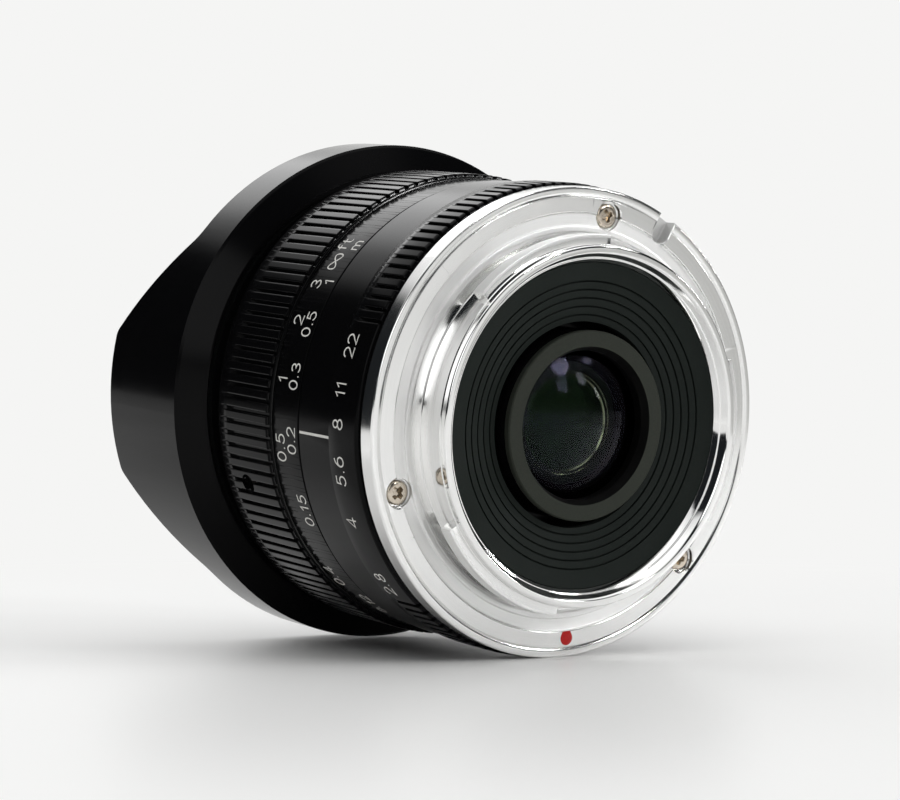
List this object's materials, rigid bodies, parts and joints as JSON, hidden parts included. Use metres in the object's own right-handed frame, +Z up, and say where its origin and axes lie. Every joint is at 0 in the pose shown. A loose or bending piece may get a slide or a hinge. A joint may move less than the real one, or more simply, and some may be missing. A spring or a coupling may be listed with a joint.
{
  "type": "fisheye camera lens",
  "caption": "Manual fisheye lens with fixed petal hood, ribbed focus ring with distance scale, aperture ring with working iris, and bayonet mount with locking notch.",
  "frame": {"origin": "centre of the mount flange's bearing face, on the optical axis", "axes": "+Y along the optical axis towards the camera body, front glass faces -Y, +X the top of the lens with the index line, +Z up as the lens lies in the picture"},
  "size_m": [0.0632, 0.0594, 0.0632],
  "materials": {
    "black_anodised": "satin black anodised",
    "matt_black": "matt black paint",
    "rear_ring_black": "bead-blasted black anodised",
    "chrome_plate": "turned and chrome plated",
    "red_enamel": "glossy red enamel",
    "white_fill": "white paint fill",
    "screw_steel": "nickel plated steel",
    "black_steel": "black oxide steel",
    "brass": "turned brass",
    "blade_steel": "blackened thin steel",
    "coated_glass": "multi-coated optical glass"
  },
  "bodies": {
    "barrel": {"main_barrel": "black_anodised", "index_line": "white_fill", "mount_ring": "chrome_plate", "mount_index": "red_enamel", "mount_screw_1": "screw_steel", "mount_screw_2": "screw_steel", "mount_screw_3": "screw_steel", "rear_baffle": "matt_black", "aperture_retaining_ring": "matt_black", "focus_retaining_ring": "matt_black", "guide_key_1": "brass", "guide_key_2": "brass", "key_screw_1": "screw_steel", "key_screw_2": "screw_steel"},
    "focus_ring_set": {"focus_ring": "black_anodised", "dog_screw_1": "black_steel", "dog_screw_2": "black_steel", "dog_screw_3": "black_steel"},
    "aperture_ring_set": {"aperture_ring": "black_anodised", "aperture_pin": "screw_steel"},
    "optics_carriage": {"carriage": "black_anodised", "hood": "black_anodised", "front_retaining_ring": "black_anodised", "front_element": "coated_glass", "second_element": "coated_glass", "third_element": "coated_glass", "fourth_element": "coated_glass", "fifth_element": "coated_glass", "sixth_element": "coated_glass", "front_spacer": "matt_black", "third_element_ring": "matt_black", "middle_spacer": "matt_black", "stop_spacer": "matt_black", "iris_snap_ring": "black_steel", "rear_cell": "black_anodised", "seventh_element": "coated_glass", "eighth_element": "coated_glass", "ninth_element": "coated_glass", "rear_element": "coated_glass", "rear_retaining_ring": "rear_ring_black"},
    "iris_drive": {"iris_drive_ring": "brass"},
    "blade_1": {"iris_blade_1": "blade_steel"},
    "blade_2": {"iris_blade_2": "blade_steel"},
    "blade_3": {"iris_blade_3": "blade_steel"},
    "blade_4": {"iris_blade_4": "blade_steel"},
    "blade_5": {"iris_blade_5": "blade_steel"},
    "blade_6": {"iris_blade_6": "blade_steel"},
    "blade_7": {"iris_blade_7": "blade_steel"}
  },
  "joints": [
    {"name": "focus_turn", "type": "hinge", "parent": "barrel", "child": "focus_ring_set", "pos_m": [0, -0.025, 0], "axis": [0, 1, 0], "range_deg": [-47, 43.8]},
    {"name": "carriage_slide", "type": "slide", "parent": "barrel", "child": "optics_carriage", "axis": [0, 1, 0], "range_m": [-0.000413, 0.000385]},
    {"name": "aperture_turn", "type": "hinge", "parent": "barrel", "child": "aperture_ring_set", "pos_m": [0, -0.006, 0], "axis": [0, 1, 0], "range_deg": [-38.4, 22.3]},
    {"name": "iris_drive_turn", "type": "hinge", "parent": "optics_carriage", "child": "iris_drive", "pos_m": [0, -0.0077, 0], "axis": [0, 1, 0], "range_deg": [-38.4, 22.3]},
    {"name": "blade_1_swing", "type": "hinge", "parent": "optics_carriage", "child": "blade_1", "pos_m": [0.0102, -0.0093, 0], "axis": [0, 1, 0], "range_deg": [-14.32, 8.32]},
    {"name": "blade_2_swing", "type": "hinge", "parent": "optics_carriage", "child": "blade_2", "pos_m": [0.00636, -0.0093, -0.00797], "axis": [0, 1, 0], "range_deg": [-14.32, 8.32]},
    {"name": "blade_3_swing", "type": "hinge", "parent": "optics_carriage", "child": "blade_3", "pos_m": [-0.00227, -0.0093, -0.00994], "axis": [0, 1, 0], "range_deg": [-14.32, 8.32]},
    {"name": "blade_4_swing", "type": "hinge", "parent": "optics_carriage", "child": "blade_4", "pos_m": [-0.00919, -0.0093, -0.00443], "axis": [0, 1, 0], "range_deg": [-14.32, 8.32]},
    {"name": "blade_5_swing", "type": "hinge", "parent": "optics_carriage", "child": "blade_5", "pos_m": [-0.00919, -0.0093, 0.00443], "axis": [0, 1, 0], "range_deg": [-14.32, 8.32]},
    {"name": "blade_6_swing", "type": "hinge", "parent": "optics_carriage", "child": "blade_6", "pos_m": [-0.00227, -0.0093, 0.00994], "axis": [0, 1, 0], "range_deg": [-14.32, 8.32]},
    {"name": "blade_7_swing", "type": "hinge", "parent": "optics_carriage", "child": "blade_7", "pos_m": [0.00636, -0.0093, 0.00797], "axis": [0, 1, 0], "range_deg": [-14.32, 8.32]}
  ],
  "couplings": [
    {"joint": "focus_turn", "follows": "carriage_slide", "rad_per_m": 1984.1},
    {"joint": "iris_drive_turn", "follows": "aperture_turn", "ratio": 1},
    {"joint": "blade_1_swing", "follows": "aperture_turn", "ratio": 0.37258},
    {"joint": "blade_2_swing", "follows": "aperture_turn", "ratio": 0.37258},
    {"joint": "blade_3_swing", "follows": "aperture_turn", "ratio": 0.37258},
    {"joint": "blade_4_swing", "follows": "aperture_turn", "ratio": 0.37258},
    {"joint": "blade_5_swing", "follows": "aperture_turn", "ratio": 0.37258},
    {"joint": "blade_6_swing", "follows": "aperture_turn", "ratio": 0.37258},
    {"joint": "blade_7_swing", "follows": "aperture_turn", "ratio": 0.37258}
  ]
}
